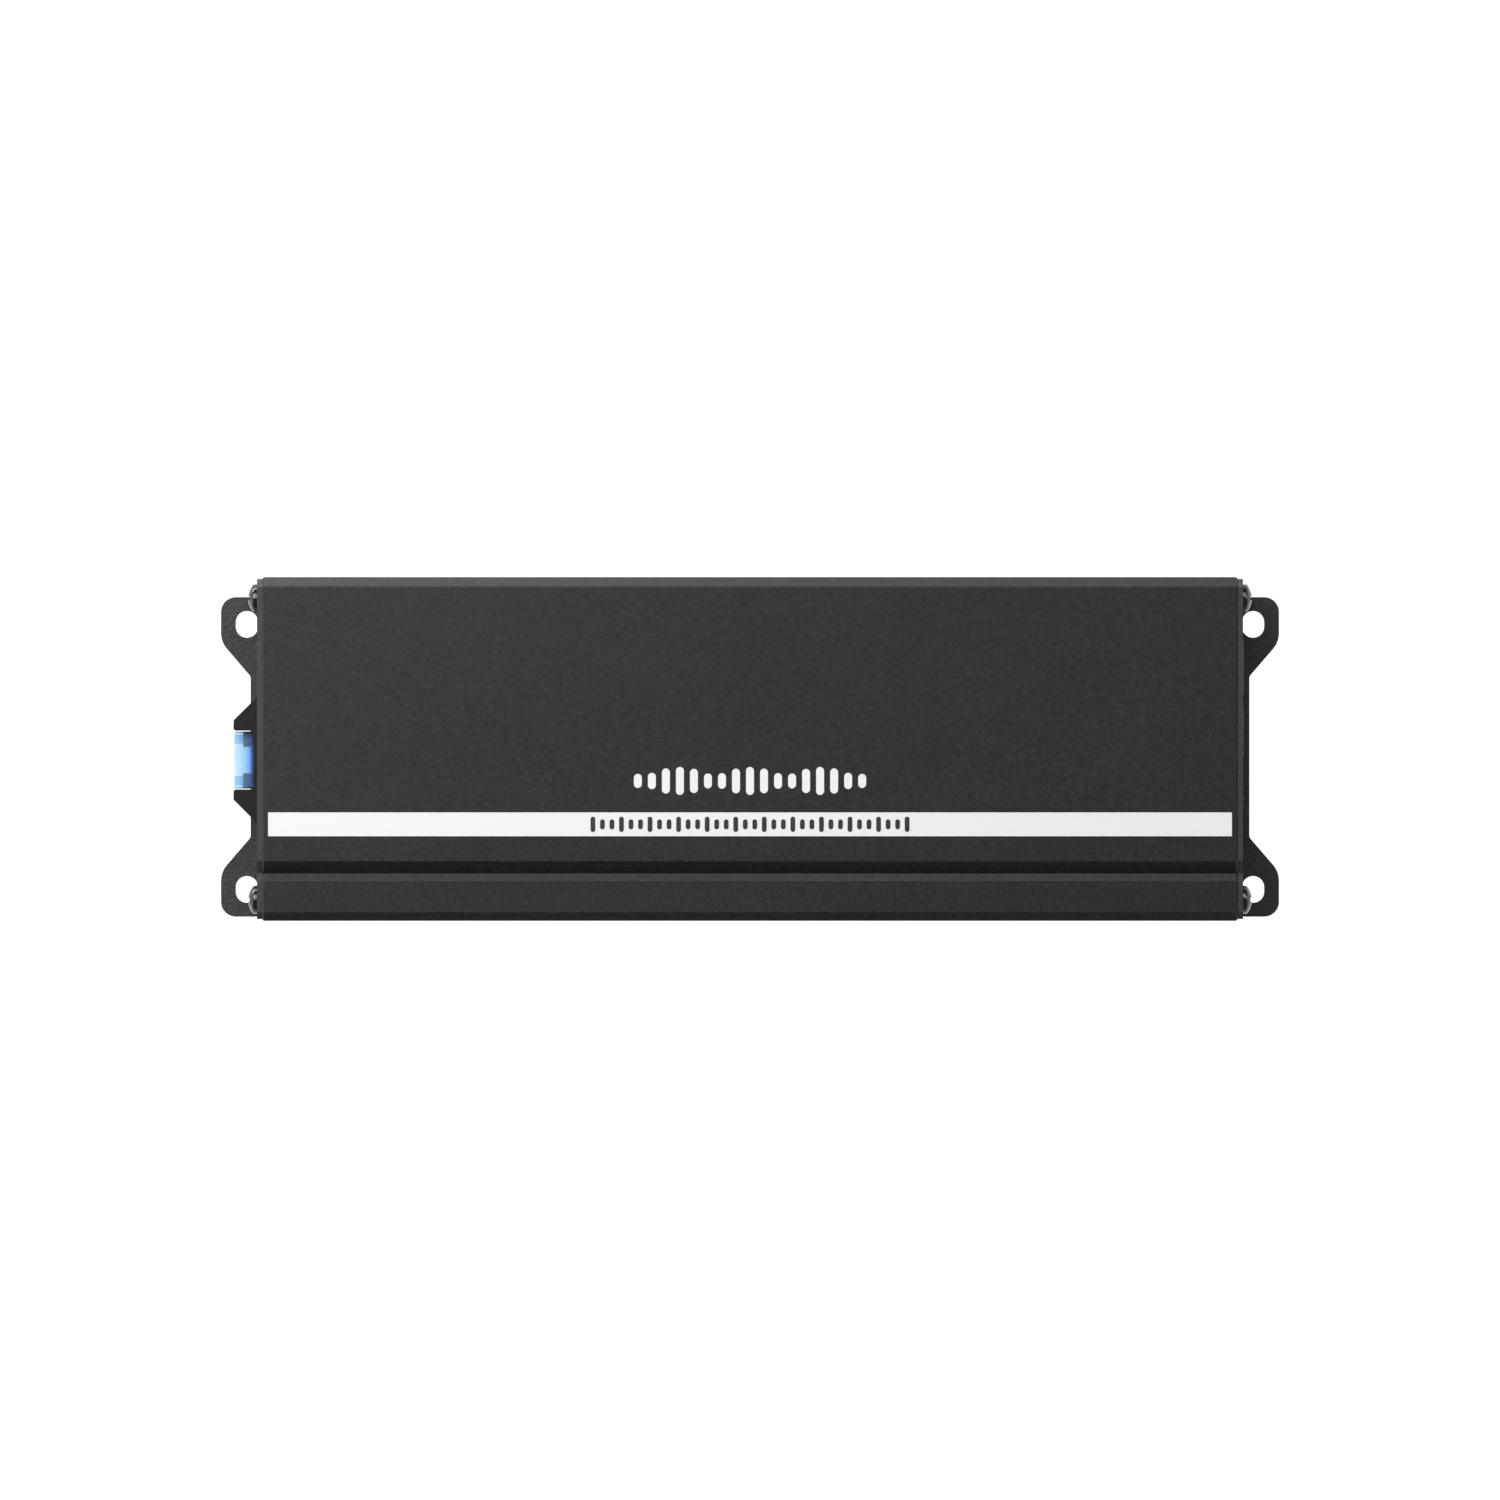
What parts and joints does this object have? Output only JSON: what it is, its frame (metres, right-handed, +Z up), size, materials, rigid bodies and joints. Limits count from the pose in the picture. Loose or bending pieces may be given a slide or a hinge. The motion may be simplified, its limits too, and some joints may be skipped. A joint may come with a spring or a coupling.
{
  "type": "car amplifier",
  "caption": "Slim black box-shaped car power amplifier with an extruded aluminium cover, slotted mounting ears, a plug-in blade fuse and recessed gain controls.",
  "frame": {"origin": "bottom centre of the bounding box, on the underside of the base plate, midway between the mounting ears and between the front and back walls", "axes": "+X along the length towards the control end, +Y towards the bevelled back edge, +Z up through the flat top of the cover"},
  "size_m": [0.2, 0.065, 0.038],
  "materials": {
    "cover_black": "fine-textured black coat on extruded aluminium",
    "steel_black": "satin black powder coat on steel sheet",
    "screw_steel": "bright nickel plating",
    "screw_black": "black zinc plating",
    "holder_black": "moulded black nylon",
    "fuse_blue": "clear light blue moulded plastic",
    "tinned_metal": "tin plating",
    "contact_brass": "plain sprung brass",
    "board_green": "glass epoxy board with solder mask",
    "control_plastic": "moulded black plastic",
    "control_white": "moulded white plastic",
    "control_metal": "plain zinc plating",
    "lamp_clear": "clear tinted lens",
    "ferrite": "dark ferrite",
    "copper_wire": "enamelled copper",
    "capacitor_sleeve": "shrunk plastic sleeve",
    "film_block": "dipped red film capacitor",
    "package_black": "moulded epoxy",
    "thermal_grey": "grey silicone sheet",
    "film_clear": "thin insulating film"
  },
  "bodies": {
    "housing": {"heatsink_cover": "cover_black", "base_plate": "steel_black", "left_end_plate": "steel_black", "right_end_plate": "steel_black", "end_plate_screws": "screw_black", "base_plate_screws": "steel_black", "board_standoffs": "control_metal", "board_screws": "screw_steel", "insulating_film": "film_clear", "main_circuit_board": "board_green", "control_board": "board_green", "fuse_holder": "holder_black", "fuse_contacts": "contact_brass", "power_connector": "holder_black", "power_connector_pins": "tinned_metal", "speaker_connector": "control_white", "speaker_connector_pins": "tinned_metal", "input_connector": "holder_black", "input_connector_pins": "tinned_metal", "gain_front_body": "control_metal", "gain_rear_body": "control_metal", "filter_switch_body": "control_metal", "power_led": "lamp_clear", "power_led_leads": "tinned_metal", "transformer_core": "ferrite", "transformer_windings": "copper_wire", "choke_core": "ferrite", "choke_windings": "copper_wire", "storage_capacitors": "capacitor_sleeve", "output_inductors": "ferrite", "output_capacitors": "film_block", "control_chips": "package_black", "power_transistors": "package_black", "amplifier_chips": "package_black", "thermal_strip": "thermal_grey", "clamp_bar": "control_metal", "clamp_screws": "control_metal"},
    "fuse": {"fuse_body": "fuse_blue", "fuse_blades": "tinned_metal"},
    "gain_front_knob": {"gain_front_shaft": "control_plastic"},
    "gain_rear_knob": {"gain_rear_shaft": "control_plastic"},
    "filter_slider": {"filter_switch_slider": "control_white"}
  },
  "joints": [
    {"name": "fuse_pull", "type": "slide", "parent": "housing", "child": "fuse", "axis": [-1, 0, 0], "range_m": [0, 0.0125]},
    {"name": "gain_front_turn", "type": "hinge", "parent": "housing", "child": "gain_front_knob", "pos_m": [0.0926, 0.0155, 0.0255], "axis": [1, 0, 0], "range_deg": [-140, 140]},
    {"name": "gain_rear_turn", "type": "hinge", "parent": "housing", "child": "gain_rear_knob", "pos_m": [0.0926, 0.0035, 0.0255], "axis": [1, 0, 0], "range_deg": [-140, 140]},
    {"name": "filter_slide", "type": "slide", "parent": "housing", "child": "filter_slider", "axis": [0, 1, 0], "range_m": [0, 0.002]}
  ]
}
